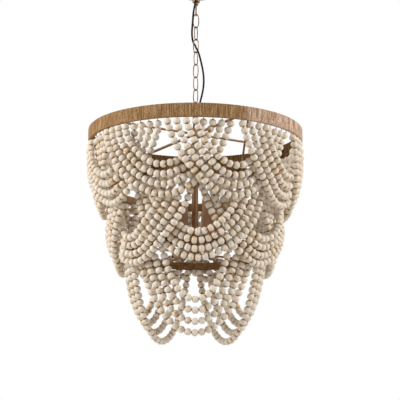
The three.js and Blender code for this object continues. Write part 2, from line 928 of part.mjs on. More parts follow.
// The tiers hang under their rings: the beads' axis lies under the band, the turns behind it.
function hung(tier, top, beadAxis, innerFace, segments) {
  const face = flatRadius(innerFace, segments) - clearance;
  const step = (tier.spanShares[1] - tier.spanShares[0]) * (360 / tier.swags);
  const corner = face * Math.sin(turn(step / 2)) + cordThickness;
  const behind = Math.sqrt(face * face - corner * corner) - cordThickness / 2;
  const startInside = beadAxis - innerFace + innerStart;
  return { ...tier, top, radius: beadAxis, turnRadius: behind, startInside };
}
const tiers = [
  hung(upperTier, topRingBottom, juteInner + juteWall / 2, juteInner, topRingSegments),
  hung(
    middleTier,
    middleRingBottom,
    middleRingRadius - bandWall / 2,
    middleRingRadius - bandWall,
    middleRingSegments,
  ),
  hung(
    lowerTier,
    bottomRingBottom,
    bottomRingRadius - bandWall,
    bottomRingRadius - bandWall,
    bottomRingSegments,
  ),
];
for (const tier of tiers) {
  for (let swag = 0; swag < tier.swags; swag += 1) {
    add(`${tier.name}_${swag + 1}`, swagGeometry(tier, swag), "bead");
  }
}
add("supply_cord", supplyCord(), "black");

export default chandelier;
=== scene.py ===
"""The looks of a beaded chandelier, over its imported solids. Metres, +Z up, origin on the ceiling."""

import math

import bpy
import numpy as np
from mathutils import Matrix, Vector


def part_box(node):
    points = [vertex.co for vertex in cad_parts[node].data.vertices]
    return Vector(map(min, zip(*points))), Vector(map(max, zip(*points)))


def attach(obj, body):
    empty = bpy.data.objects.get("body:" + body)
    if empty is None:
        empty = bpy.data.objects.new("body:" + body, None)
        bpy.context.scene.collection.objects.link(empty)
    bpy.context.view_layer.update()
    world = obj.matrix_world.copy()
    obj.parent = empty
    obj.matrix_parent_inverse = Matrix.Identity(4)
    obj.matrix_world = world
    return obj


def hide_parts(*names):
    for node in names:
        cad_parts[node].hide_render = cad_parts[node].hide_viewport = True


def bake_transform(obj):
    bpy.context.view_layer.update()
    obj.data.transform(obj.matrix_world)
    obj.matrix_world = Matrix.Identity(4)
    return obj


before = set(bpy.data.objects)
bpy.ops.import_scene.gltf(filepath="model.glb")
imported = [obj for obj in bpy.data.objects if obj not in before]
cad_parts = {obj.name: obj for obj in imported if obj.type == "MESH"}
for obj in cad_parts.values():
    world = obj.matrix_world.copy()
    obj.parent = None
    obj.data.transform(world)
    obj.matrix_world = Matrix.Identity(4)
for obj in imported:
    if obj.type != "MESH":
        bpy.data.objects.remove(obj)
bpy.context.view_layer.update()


# The photograph was taken from below, a few metres off, with a long lens tipped up a little. The
# chandelier's axis stands a little left of the middle of the frame.
mm = 0.001
PHOTO_WIDTH = 400
FOCAL_PIXELS = 1828.8
SENSOR_WIDTH = 36.0
camera_place = (11.8 * mm, -4200 * mm, -1476 * mm)
camera_pitch = math.radians(12.73)
camera_roll = math.radians(0.3)

scene = bpy.context.scene
camera = bpy.data.objects.new("camera", bpy.data.cameras.new("camera"))
camera.data.sensor_width = SENSOR_WIDTH
camera.data.lens = SENSOR_WIDTH * FOCAL_PIXELS / PHOTO_WIDTH
camera.matrix_world = (
    Matrix.Translation(camera_place)
    @ Matrix.Rotation(math.pi / 2 + camera_pitch, 4, "X")
    @ Matrix.Rotation(camera_roll, 4, "Z")
)
scene.collection.objects.link(camera)
scene.camera = camera


# The supply cord is a round black PVC cord. It leaves a gland under the canopy, passes through the
# third link of the chain and hangs beside it in a slack curve down to a bush on the hub. It is made in
# lengths, cut where the chain's links hang.
CORD_DIAMETER = 4.6 * mm
CORD_SIDES = 14
CORD_STEP = 1.5 * mm
# Points on the cord's middle, from the gland to the bush, in millimetres.
CORD_POINTS = (
    (-2, -15, -32.5), (-2, -15, -40), (-3.2, -14.4, -50), (-5.4, -12, -62),
    (-7, -8.8, -74), (-7.8, -6.4, -86), (-8.8, -5.4, -99), (-9.6, -2.6, -112),
    (-9.2, 2.2, -124), (-7.8, 6, -132.5), (-5.6, 7.2, -139), (-1.7, 5.6, -145),
    (-0.4, 1, -150.6), (1.1, -3.4, -155.6), (3.6, -6.4, -160.6), (6.2, -7.8, -167),
    (9, -7.8, -176), (13.4, -6.6, -193.8), (17.3, -5.5, -213), (19.2, -5, -233),
    (18.4, -5.2, -253), (15.6, -6.4, -270), (12, -8, -286), (7.6, -10, -304),
    (3, -11.2, -320), (-0.8, -10.9, -332), (-2.8, -9.5, -340), (-3, -9, -347.4),
)


def linear(colour):
    """An sRGB hex colour as linear red, green, blue and alpha."""
    channels = np.array([int(colour[i : i + 2], 16) for i in (1, 3, 5)]) / 255
    low = channels / 12.92
    high = ((channels + 0.055) / 1.055) ** 2.4
    return (*np.where(channels <= 0.04045, low, high), 1.0)


def new_material(name):
    """A material with its own surface shader."""
    material = bpy.data.materials.new(name)
    material.use_nodes = True
    return material


def add(material, kind, inputs=(), settings=(), stops=(), output=0):
    """Adds a shader node and gives one of its outputs. An input is a value or another node's output,
    settings are the node's own fields, and stops are a colour ramp's places and hex colours."""
    node = material.node_tree.nodes.new("ShaderNode" + kind)
    for name, value in dict(settings).items():
        setattr(node, name, value)
    for place, colour in stops[2:]:
        node.color_ramp.elements.new(place)
    for index, (place, colour) in enumerate(stops):
        node.color_ramp.elements[index].position = place
        node.color_ramp.elements[index].color = linear(colour)
    set_inputs(material, node, inputs)
    return node.outputs[output]


def set_inputs(material, node, inputs):
    """Gives each named input of a node a value or a link from another node's output."""
    for name, value in dict(inputs).items():
        if isinstance(value, bpy.types.NodeSocket):
            material.node_tree.links.new(value, node.inputs[name])
        else:
            node.inputs[name].default_value = value


def set_surface(material, **surface):
    """Sets the sockets of a material's own shader, each to a value or a node's output."""
    shader = material.node_tree.nodes["Principled BSDF"]
    set_inputs(material, shader, {name.replace("_", " "): value for name, value in surface.items()})


def piece_from(name, vertices, faces, material, sharp=40):
    """A mesh object with smooth faces, whose edges over a sharp angle in degrees stay crisp."""
    mesh = bpy.data.meshes.new(name)
    mesh.from_pydata(vertices, [], faces)
    mesh.polygons.foreach_set("use_smooth", np.ones(len(mesh.polygons), bool))
    mesh.set_sharp_from_angle(angle=math.radians(sharp))
    mesh.materials.append(material)
    mesh.update()
    piece = bpy.data.objects.new(name, mesh)
    scene.collection.objects.link(piece)
    return piece


def grid_faces(rows, columns, wrap_rows=False):
    """Quads over a grid of rows by columns, closed across the columns and, if asked, the rows."""
    row = np.arange(rows if wrap_rows else rows - 1)[:, None]
    column = np.arange(columns)[None, :]
    next_row = (row + 1) % rows
    next_column = (column + 1) % columns
    corners = [
        row * columns + column,
        row * columns + next_column,
        next_row * columns + next_column,
        next_row * columns + column,
    ]
    return np.stack(corners, -1).reshape(-1, 4).tolist()


def rod_faces(rows, columns):
    """Quads over a grid of rows by columns, with one flat face at each end."""
    first = list(range(columns))[::-1]
    last = list(range((rows - 1) * columns, rows * columns))
    return [*grid_faces(rows, columns), first, last]


def evenly(curve, step):
    """A curve cut again into equal steps, as near to a given step as divides its length."""
    run = np.r_[0, np.cumsum(np.linalg.norm(np.diff(curve, axis=0), axis=1))]
    even = np.linspace(0, run[-1], max(2, round(run[-1] / step) + 1))
    return np.stack([np.interp(even, run, curve[:, axis]) for axis in range(3)], axis=1)


def smooth_route(points, step):
    """A curve through points: cubic Hermite spans with chord-length speeds, cut in equal steps."""
    chord = np.r_[0, np.cumsum(np.linalg.norm(np.diff(points, axis=0), axis=1))]
    slope = np.gradient(points, chord, axis=0)
    fine = np.linspace(0, chord[-1], int(chord[-1] / step * 4))
    span = np.clip(np.searchsorted(chord, fine, side="right") - 1, 0, len(points) - 2)
    width = (chord[span + 1] - chord[span])[:, None]
    t = (fine - chord[span])[:, None] / width
    curve = (
        (2 * t**3 - 3 * t**2 + 1) * points[span]
        + (t**3 - 2 * t**2 + t) * width * slope[span]
        + (3 * t**2 - 2 * t**3) * points[span + 1]
        + (t**3 - t**2) * width * slope[span + 1]
    )
    return evenly(curve, step)


def unit(vectors):
    """Vectors drawn to length 1."""
    return vectors / np.linalg.norm(vectors, axis=1)[:, None]


def carried_frames(path):
    """Two directions square to a path at each point. The first starts anywhere and is then carried
    along, each time less its part along the path, so it turns as little as it can."""
    tangent = unit(np.gradient(path, axis=0))
    across = np.cross(tangent[0], (0.31, 0.95, 0.12))
    normals = []
    for direction in tangent:
        across = across - direction * (across @ direction)
        across /= np.linalg.norm(across)
        normals.append(across)
    normals = np.array(normals)
    return normals, np.cross(tangent, normals)


def tube(path, radius, sides):
    """Vertices and faces of a closed round tube: at each point of a path, a circle in the plane of
    the two carried directions. The radius may change along the path."""
    normal, binormal = carried_frames(path)
    angle = np.linspace(0, 2 * np.pi, sides, endpoint=False)
    radii = np.broadcast_to(radius, len(path))[:, None, None]
    circle = np.cos(angle)[:, None] * normal[:, None] + np.sin(angle)[:, None] * binormal[:, None]
    return (path[:, None] + radii * circle).reshape(-1, 3), rod_faces(len(path), sides)


# Extruded PVC: near black and half matt, with a faint grey dust from handling.
CORD_DUST = 4 * mm
cord_black = new_material("black_pvc_cord")
place = add(cord_black, "TexCoord", output="Object")
dust = add(cord_black, "TexNoise", {"Vector": place, "Scale": 1 / CORD_DUST, "Detail": 3})
stops = ((0.3, "#080707"), (0.8, "#141211"))
colour = add(cord_black, "ValToRGB", {"Fac": dust}, stops=stops)
set_surface(cord_black, Base_Color=colour, Roughness=0.55, Specular_IOR_Level=0.15)

link_bodies = [f"link_{number}" for number in range(1, 9)]


def node_middle(node):
    """The middle of a node's box at rest."""
    low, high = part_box(node)
    return (low + high) / 2


link_heights = [node_middle(f"chain_{body}").z for body in link_bodies]
cord_route = smooth_route(np.array(CORD_POINTS) * mm, CORD_STEP)
cord_cuts = [cord_route[0, 2], *link_heights, cord_route[-1, 2]]
cut_rows = [int(np.argmin(abs(cord_route[:, 2] - height))) for height in cord_cuts]
for number, (first, last) in enumerate(zip(cut_rows, cut_rows[1:]), 1):
    stretch = cord_route[first : last + 1]
    shape = tube(stretch, CORD_DIAMETER / 2, CORD_SIDES)
    piece = piece_from(f"supply_cord_{number}", *shape, cord_black)
    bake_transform(piece)
    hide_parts("supply_cord")


# The canopy is a low spun-steel dome over the ceiling box, painted in a weathered copper brown. A
# grooved collar nut on a threaded tube holds it up, and a black nylon gland lets the cord out of it.
CANOPY_WALL = 1.4 * mm
CANOPY_BORE = 5.4 * mm
CANOPY_ROLL = 1.5 * mm
COLLAR_BORE = 5.3 * mm
COLLAR_GROOVE = 0.8 * mm
COLLAR_CHAMFER = 0.4 * mm
GLAND_EDGE = 1 * mm
GLAND_SEAT = 0.3 * mm
BLOTCH = 11 * mm
GRIME = 1.8 * mm
GRIME_DEPTH = 0.12 * mm
canopy_low, canopy_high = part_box("canopy_cover")
canopy_radius = (canopy_high.x - canopy_low.x) / 2
canopy_depth = -canopy_low.z


def revolve(profile, segments=96, axis=(0, 0)):
    """Vertices and faces of a profile of radius and height pairs turned about a vertical axis. The
    profile goes anticlockwise. If it starts on the axis it ends there, and otherwise it closes."""
    profile = np.array(profile, float)
    open_ended = profile[0, 0] == 0
    rings = profile[1:-1] if open_ended else profile
    angle = np.linspace(0, 2 * np.pi, segments, endpoint=False)
    x = axis[0] + rings[:, 0, None] * np.cos(angle)
    y = axis[1] + rings[:, 0, None] * np.sin(angle)
    z = np.broadcast_to(rings[:, 1, None], x.shape)
    vertices = np.stack([x, y, z], axis=-1).reshape(-1, 3)
    faces = grid_faces(len(rings), segments, wrap_rows=not open_ended)
    if open_ended:
        count = len(vertices)
        ends = [(*axis, profile[0, 1]), (*axis, profile[-1, 1])]
        vertices = np.vstack([vertices, ends])
        around = np.arange(segments)
        after = (around + 1) % segments
        last = count - segments
        faces += np.stack([after, around, np.full(segments, count)], 1).tolist()
        faces += np.stack([last + around, last + after, np.full(segments, count + 1)], 1).tolist()
    return vertices, faces


def arc(centre, radius, start, end, steps=6):
    """Points on a circle in the profile's plane, between two angles in degrees."""
    angle = np.radians(np.linspace(start, end, steps))
    return np.stack([centre[0] + radius * np.cos(angle), centre[1] + radius * np.sin(angle)], 1)


def chamfered(bore, radius, low, high, chamfer):
    """The profile of a turned block with its outer edges cut off at 45 degrees. Bore 0 is solid."""
    return [
        (bore, low),
        (radius - chamfer, low),
        (radius, low + chamfer),
        (radius, high - chamfer),
        (radius - chamfer, high),
        (bore, high),
    ]


def fit(piece, node, body="fixture"):
    """Fixes a piece to a body, and lets it stand for a node."""
    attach(piece, body)
    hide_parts(node)


def spun(name, profile, material, slot, node, body="fixture", **options):
    """A turned piece that stands for a node and rides on a body."""
    fit(piece_from(name, *revolve(profile, **options), material), node, body)


MULTIPLY_ADD = {"operation": "MULTIPLY_ADD"}


def weathered_metal(name, low, middle, high, metallic, roughness, drawn=1):
    """Thin paint over steel: blotches a centimetre wide run from a low to a high colour, with finer
    grime in them, and the high, rubbed places are smoother. All of it can be drawn out lengthwise."""
    material = new_material(name)
    place = add(material, "TexCoord", output="Object")
    place = add(material, "Mapping", {"Vector": place, "Scale": (1, 1, 1 / drawn)})
    coarse = {"Vector": place, "Scale": 1 / BLOTCH, "Detail": 5, "Roughness": 0.65}
    blotch = add(material, "TexNoise", coarse)
    fine = {"Vector": place, "Scale": 1 / GRIME, "Detail": 3, "Roughness": 0.55}
    grime = add(material, "TexNoise", fine)
    mixed = add(material, "Math", {0: grime, 1: 0.45, 2: blotch}, MULTIPLY_ADD)
    stops = ((0.5, low), (0.7, middle), (0.92, high))
    limits = {"Value": blotch, "To Min": roughness + 0.12, "To Max": roughness - 0.1}
    relief = {"Height": grime, "Distance": GRIME_DEPTH, "Strength": 0.5}
    set_surface(
        material,
        Base_Color=add(material, "ValToRGB", {"Fac": mixed}, stops=stops),
        Metallic=metallic,
        Roughness=add(material, "MapRange", limits),
        Normal=add(material, "Bump", relief),
    )
    return material


# Copper-brown paint, sponged on and rubbed: dark in the hollows, bright copper where it wears.
copper_brown = weathered_metal("weathered_copper_paint", "#35241a", "#775840", "#b08a6c", 0.5, 0.42)

dome = [
    (CANOPY_BORE, -canopy_depth),
    (0.3 * canopy_radius, -canopy_depth),
    (0.42 * canopy_radius, -0.96 * canopy_depth),
    (0.66 * canopy_radius, -19.5 * mm),
    (0.87 * canopy_radius, -9 * mm),
    (canopy_radius - 2 * CANOPY_ROLL, -2.8 * mm),
]
outside = smooth_route(np.array([(radius, 0, height) for radius, height in dome]), 2 * mm)[:, [0, 2]]
roll = arc((canopy_radius - CANOPY_ROLL, -CANOPY_ROLL), CANOPY_ROLL, -80, 85)
inside = outside[::-1] + [(-0.35 * CANOPY_WALL, CANOPY_WALL)]
inside[-1] = (CANOPY_BORE, CANOPY_WALL - canopy_depth)
profile = [*outside, *roll, (canopy_radius - 2 * CANOPY_ROLL, -0.1 * mm), *inside]
spun("canopy", profile, copper_brown, "weathered_metal", "canopy_cover", body="canopy")

# Zinc plate: pale, almost a mirror, and clouded by the bath.
zinc = weathered_metal("zinc_plated_steel", "#9a9c9a", "#b9bbb9", "#d2d4d2", 0.9, 0.38)
for node in ("mounting_strap", "threaded_nipple", "lock_nut"):
    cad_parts[node].material_slots[0].material = zinc

collar_low, collar_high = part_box("collar_nut")
collar_radius = (collar_high.x - collar_low.x) / 2
groove = collar_radius - COLLAR_GROOVE
third = (collar_high.z - collar_low.z) / 3
profile = [
    (COLLAR_BORE, collar_low.z),
    (groove, collar_low.z),
    *arc((groove, collar_low.z + COLLAR_GROOVE), COLLAR_GROOVE, -70, 0, 4),
    (collar_radius, collar_low.z + third),
    (groove, collar_low.z + third + COLLAR_GROOVE),
    (groove, collar_high.z - third - COLLAR_GROOVE),
    (collar_radius, collar_high.z - third),
    (collar_radius, collar_high.z - COLLAR_CHAMFER),
    (collar_radius - COLLAR_CHAMFER, collar_high.z),
    (COLLAR_BORE, collar_high.z),
]
spun("collar", profile, copper_brown, "weathered_metal", "collar_nut", body="canopy")

# Moulded nylon: black, with the faint orange-peel of the mould, drawn coarser than it is.
PEEL = 1.2 * mm
PEEL_DEPTH = 0.05 * mm
black_plastic = new_material("moulded_black_nylon")
place = add(black_plastic, "TexCoord", output="Object")
peel = add(black_plastic, "TexNoise", {"Vector": place, "Scale": 1 / PEEL, "Detail": 3})
stops = ((0.3, "#151414"), (0.8, "#242221"))
colour = add(black_plastic, "ValToRGB", {"Fac": peel}, stops=stops)
relief = {"Height": peel, "Distance": PEEL_DEPTH, "Strength": 0.4}
normal = add(black_plastic, "Bump", relief)
set_surface(black_plastic, Base_Color=colour, Roughness=0.5, IOR=1.53, Normal=normal)

gland_low, gland_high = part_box("cord_gland")
gland_radius = (gland_high.x - gland_low.x) / 2
gland_mouth = 0.62 * gland_radius
gland_neck = 0.68 * gland_radius
profile = [
    (0, gland_low.z),
    (gland_mouth, gland_low.z),
    *arc((gland_mouth, gland_low.z + GLAND_EDGE), GLAND_EDGE, -60, 20, 4),
    (gland_radius, -canopy_depth - GLAND_EDGE),
    (gland_radius, -canopy_depth - GLAND_SEAT),
    (gland_neck, -canopy_depth - GLAND_SEAT),
    (gland_neck, gland_high.z),
    (0, gland_high.z),
]
turned = {"segments": 32, "axis": node_middle("cord_gland").xy}
spun("gland", profile, black_plastic, "black_plastic", "cord_gland", "canopy", **turned)


# The chain is bent steel wire, each oval link closed by a weld. It hangs from a cast eye under the
# collar and carries a second eye on the hub. The copper-brown paint is the canopy's.
LINK_SIDES = 12
LINK_STEPS = 44
LINK_POWER = 2.5


def oval(length, width, wire, turn, height):
    """Vertices and faces of an oval loop of round wire in a vertical plane. The wire's middle follows
    a superellipse |x / a|^n + |z / b|^n = 1, so its shanks bow a little, with a circle square to it."""
    a, b = (width - wire) / 2, (length - wire) / 2
    angle = np.linspace(0, 2 * np.pi, LINK_STEPS * 16, endpoint=False)
    fine_x = a * np.sign(np.cos(angle)) * abs(np.cos(angle)) ** (2 / LINK_POWER)
    fine_z = b * np.sign(np.sin(angle)) * abs(np.sin(angle)) ** (2 / LINK_POWER)
    run = np.r_[0, np.cumsum(np.hypot(np.diff(fine_x, append=a), np.diff(fine_z, append=0)))]
    even = np.linspace(0, run[-1], LINK_STEPS, endpoint=False)
    x = np.interp(even, run, np.r_[fine_x, a])
    z = np.interp(even, run, np.r_[fine_z, 0])
    along = unit(np.stack([np.roll(x, -1) - np.roll(x, 1), np.roll(z, -1) - np.roll(z, 1)], 1))
    plane = np.array([math.cos(turn), math.sin(turn), 0])
    square = np.array([math.sin(turn), -math.cos(turn), 0])
    up = np.array([0, 0, 1.0])
    centre = x[:, None] * plane + (z + height)[:, None] * up
    normal = along[:, 1:] * plane - along[:, :1] * up
    angle = np.linspace(0, 2 * np.pi, LINK_SIDES, endpoint=False)
    circle = np.cos(angle)[:, None] * normal[:, None] + np.sin(angle)[:, None] * square
    vertices = (centre[:, None] + wire / 2 * circle).reshape(-1, 3)
    return vertices, grid_faces(len(centre), LINK_SIDES, wrap_rows=True)


def merged(*shapes):
    """Several shapes' vertices and faces as one list of each."""
    vertices, faces, count = [], [], 0
    for points, polygons in shapes:
        vertices.append(points)
        faces += [[corner + count for corner in polygon] for polygon in polygons]
        count += len(points)
    return np.vstack(vertices), faces


LINK_WIRE = 2.5 * mm
LINK_WIDTH = 15.5 * mm
LINK_LENGTH = 36.6 * mm
LINK_TURNS = (0, 57, -26, 49, -31, 40, -38, 48)
LOOP_WIRE = 3.6 * mm
LOOP_WIDTH = 18 * mm
LOOP_NECK = 5.4 * mm
LOOP_CHAMFER = 0.8 * mm
for body, degrees, height in zip(link_bodies, LINK_TURNS, link_heights):
    shape = oval(LINK_LENGTH, LINK_WIDTH, LINK_WIRE, math.radians(degrees), height)
    fit(piece_from(body, *shape, copper_brown), f"chain_{body}", body)


def eye(name, node, body, length, degrees, neck_at_top):
    """A cast eye: an oval loop on a short turned neck."""
    low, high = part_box(node)
    if neck_at_top:
        centre, neck_low, neck_high = low.z + length / 2, low.z + length - LOOP_WIRE, high.z
    else:
        centre, neck_low, neck_high = high.z - length / 2, low.z, high.z - length + LOOP_WIRE
    neck = revolve(chamfered(0, LOOP_NECK, neck_low, neck_high, LOOP_CHAMFER), segments=32)
    shape = merged(oval(length, LOOP_WIDTH, LOOP_WIRE, math.radians(degrees), centre), neck)
    fit(piece_from(name, *shape, copper_brown), node, body)


eye("canopy_eye", "canopy_loop", "canopy", length=31 * mm, degrees=90, neck_at_top=True)
eye("hub_eye", "top_loop", "fixture", length=30 * mm, degrees=-42, neck_at_top=False)


# The frame is mild steel, welded and sprayed a satin brown: a hub with four flat bars that reach the
# top ring, four round ribs from the bars to the middle ring, and a second hub in the bottom ring.
SPOKE_TURN = math.radians(31)
SPOKES = [SPOKE_TURN + quarter * math.pi / 2 for quarter in range(4)]
SPOKE_WIDTH = 9 * mm
SPOKE_THICKNESS = 3.4 * mm
SPOKE_EDGE = 0.7 * mm
SPOKE_DROP = 13 * mm
RIB_RADIUS = 2.5 * mm
RIB_START = 236 * mm
RIB_FOOT = 205.03 * mm
RIB_BEND = 8 * mm
ROD_SIDES = 14
HUB_CHAMFER = 2.4 * mm
WELD = 1.7 * mm
WELD_RUN = 4 * mm
# Sprayed enamel: an even walnut brown with a soft shine, warmer where it lies thin.
satin_brown = weathered_metal("satin_brown_enamel", "#65411f", "#895d2f", "#ab7f4b", 0.2, 0.45)


def radial(turn, radius, height):
    """The point at a radius and height, turned about the light's axis from +X."""
    return (radius * math.cos(turn), radius * math.sin(turn), height)


def strip_section(inner, outer, low, high, edge):
    """A flat strip's section with rounded edges, anticlockwise."""
    corners = [
        ((outer - edge, low + edge), -90, 0),
        ((outer - edge, high - edge), 0, 90),
        ((inner + edge, high - edge), 90, 180),
        ((inner + edge, low + edge), 180, 270),
    ]
    return np.vstack([arc(centre, edge, start, end, 4) for centre, start, end in corners])


def flat_bar(turn, hub_radius, reach, height):
    """A flat bar: a strip's section carried outwards from inside the hub. At the hub it swells by a
    weld that dies away with the square of the distance left to the weld's end."""
    half_width, half_thickness = SPOKE_WIDTH / 2, SPOKE_THICKNESS / 2
    section = strip_section(-half_width, half_width, -half_thickness, half_thickness, SPOKE_EDGE)
    run = np.linspace(0, 1, 5)
    radii = np.r_[hub_radius * 0.6, hub_radius + (run - 0.25) * WELD_RUN, reach]
    swell = np.r_[0, WELD * (1 - run) ** 2, 0]
    places = section + swell[:, None, None] * unit(section)
    along = np.array([math.cos(turn), math.sin(turn), 0])
    across = np.array([-math.sin(turn), math.cos(turn), 0])
    up = np.array([0, 0, 1.0])
    vertices = radii[:, None, None] * along + places[..., :1] * across + places[..., 1:] * up
    return (vertices + height * up).reshape(-1, 3), rod_faces(len(radii), len(section))


def spider(name, node, hub_radius, height):
    """A chamfered hub with four flat bars welded to it at one height."""
    low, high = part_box(node)
    reach = (high.x - SPOKE_WIDTH / 2 * math.sin(SPOKE_TURN)) / math.cos(SPOKE_TURN)
    shapes = [revolve(chamfered(0, hub_radius, low.z, high.z, HUB_CHAMFER), segments=48)]
    for turn in SPOKES:
        shapes.append(flat_bar(turn, hub_radius, reach, height))
    fit(piece_from(name, *merged(*shapes), satin_brown), node)


spoke_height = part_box("top_spider")[1].z - SPOKE_DROP
spider("spokes", "top_spider", hub_radius=14 * mm, height=spoke_height)
lower_height = node_middle("lower_spider").z
spider("lower_spokes", "lower_spider", hub_radius=12 * mm, height=lower_height)

# Each rib runs straight in from its bar, bends along a parabola over the middle ring and drops
# beside it. The weld under the bar swells it.
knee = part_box("middle_ring")[1].z + 2 * RIB_RADIUS
for number, turn in enumerate(SPOKES, 1):
    node = f"frame_rib_{number}"
    rib_low, rib_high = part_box(node)
    start = np.array(radial(turn, RIB_START, rib_high.z - RIB_RADIUS))
    middle = np.array(radial(turn, RIB_FOOT, knee))
    end = np.array(radial(turn, RIB_FOOT, rib_low.z))
    before = middle + (start - middle) * RIB_BEND / np.linalg.norm(start - middle)
    after = middle + (end - middle) * RIB_BEND / np.linalg.norm(end - middle)
    share = np.linspace(0, 1, 9)[:, None]
    bend = (1 - share) ** 2 * before + 2 * share * (1 - share) * middle + share**2 * after
    path = np.vstack([smooth_route(np.array([start, before]), 2 * mm)[:-1], bend, end])
    fall = np.linalg.norm(path - start, axis=1)
    radius = RIB_RADIUS + WELD * np.clip(1 - fall / WELD_RUN, 0, 1) ** 2
    piece = piece_from(f"rib_{number}", *tube(path, radius, ROD_SIDES), satin_brown)
    fit(piece, node)

# The bush that takes the cord into the hub.
BUSH_EDGE = 1 * mm
BUSH_FLANGE = 2 * mm
bush_low, bush_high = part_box("cord_bush")
bush_radius = (bush_high.y - bush_low.y) / 2
profile = [
    (0, bush_low.z),
    (bush_radius, bush_low.z),
    (bush_radius, bush_low.z + BUSH_FLANGE),
    *arc((bush_radius - BUSH_EDGE, bush_high.z - BUSH_EDGE), BUSH_EDGE, 0, 80, 4),
    (0, bush_high.z),
]
turned = {"segments": 32, "axis": node_middle("cord_bush").xy}
spun("bush", profile, black_plastic, "black_plastic", "cord_bush", **turned)


# The stem is a steel tube with the same brown paint, brushed thin so that gold shows along it. It
# runs from the upper hub to the lower one, and a turned ball finial screws in under that.
STEM_WALL = 1.6 * mm
FINIAL_NECK = 4 * mm
FINIAL_NECK_HEIGHT = 1.5 * mm
BALL_SHARE = 0.38
BALL_LIFT = 0.5 * mm
# Lacquer brushed on lengthwise: long streaks, golden where the brush left it thin.
antique_gold = weathered_metal("antique_gold_lacquer", "#614126", "#855d38", "#a27a53", 0.35, 0.4, 9)
stem_low, stem_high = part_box("center_stem")
stem_radius = (stem_high.x - stem_low.x) / 2
bore = stem_radius - STEM_WALL
walls = [(bore, stem_low.z), (stem_radius, stem_low.z)]
walls += [(stem_radius, stem_high.z), (bore, stem_high.z)]
spun("stem", walls, antique_gold, "brown_metal", "center_stem", segments=48)

finial_low, finial_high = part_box("finial")
finial_radius = (finial_high.y - finial_low.y) / 2
ball = (finial_high.z - finial_low.z) * BALL_SHARE
ball_middle = finial_low.z + ball + BALL_LIFT
profile = [
    (0, finial_low.z),
    *(arc((0, 0), 1, -85, 62, 18) * (finial_radius, ball) + (0, ball_middle)),
    (FINIAL_NECK, finial_high.z - FINIAL_NECK_HEIGHT),
    (FINIAL_NECK, finial_high.z),
    (0, finial_high.z),
]
spun("ball_finial", profile, antique_gold, "brown_metal", "finial", segments=40)


# Four round steel arms leave a turned collar on the stem, in the frame's brown. Each ends under a
# pressed, dished cup, with a nut beneath it, that holds a candle sleeve and its lampholder.
ARM_RADIUS = 4 * mm
ARM_START = 13 * mm
LAMP_REACH = 60 * mm
COLLAR_FIT = 0.3 * mm
ARM_COLLAR_RADIUS = 15 * mm
ARM_COLLAR_HALF = 8 * mm
ARM_COLLAR_CHAMFER = 1.2 * mm
CUP_RADIUS = 18 * mm
CUP_LIP = 0.8 * mm
NUT_DEPTH = 3 * mm
arms_low, arms_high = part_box("lamp_arms")
arm_height = arms_low.z + ARM_COLLAR_HALF
cup_floor = arm_height + ARM_RADIUS
collar_bore = stem_radius + COLLAR_FIT
top = arm_height + ARM_COLLAR_HALF
collar = chamfered(collar_bore, ARM_COLLAR_RADIUS, arms_low.z, top, ARM_COLLAR_CHAMFER)
cup = [
    (0, arm_height - NUT_DEPTH),
    (3.4 * mm, arm_height - NUT_DEPTH),
    (5.5 * mm, arm_height + 0.5 * mm),
    (11 * mm, cup_floor - 0.8 * mm),
    (16.6 * mm, cup_floor + 0.8 * mm),
    *arc((CUP_RADIUS - CUP_LIP, arms_high.z - CUP_LIP), CUP_LIP, -30, 150, 6),
    (15 * mm, cup_floor + 1.9 * mm),
    (12 * mm, cup_floor + 1.5 * mm),
    (0, cup_floor + 1.5 * mm),
]
shapes = [revolve(collar, segments=48)]
for turn in SPOKES:
    ends = [radial(turn, ARM_START, arm_height), radial(turn, LAMP_REACH, arm_height)]
    shapes.append(tube(np.array(ends), ARM_RADIUS, ROD_SIDES))
    shapes.append(revolve(cup, segments=48, axis=ends[1][:2]))
fit(piece_from("arms_and_cups", *merged(*shapes), satin_brown), "lamp_arms")


# The candle sleeves are thin card tubes with a rosy tan coat. A black moulded lampholder stands in
# each, its mouth just under the sleeve's edge, and a black lead comes to it from the stem.
SLEEVE_RADIUS = 14.5 * mm
SLEEVE_WALL = 1.2 * mm
SLEEVE_EDGE = 0.5 * mm
SOCKET_RADIUS = 11.5 * mm
SOCKET_EDGE = 1 * mm
SOCKET_HEIGHT = 42 * mm
SOCKET_STEM = 5 * mm
SOCKET_BORE = 6.2 * mm
SOCKET_DEPTH = 25 * mm
THREAD_PITCH = 2.1 * mm
THREAD_DEPTH = 0.5 * mm
# Dipped card: an even tan with a slow rosy drift and faint runs down the tube.
RUNS = 5 * mm
RUNS_LENGTH = 33 * mm
RUNS_DEPTH = 0.25 * mm
sleeve_tan = new_material("rosy_tan_dipped_card")
place = add(sleeve_tan, "TexCoord", output="Object")
drawn = (1, 1, RUNS / RUNS_LENGTH)
place = add(sleeve_tan, "Mapping", {"Vector": place, "Scale": drawn})
runs = add(sleeve_tan, "TexNoise", {"Vector": place, "Scale": 1 / RUNS, "Detail": 4})
stops = ((0.25, "#926c50"), (0.75, "#b8906c"))
colour = add(sleeve_tan, "ValToRGB", {"Fac": runs}, stops=stops)
relief = {"Height": runs, "Distance": RUNS_DEPTH, "Strength": 0.3}
normal = add(sleeve_tan, "Bump", relief)
set_surface(sleeve_tan, Base_Color=colour, Roughness=0.62, IOR=1.48, Normal=normal)

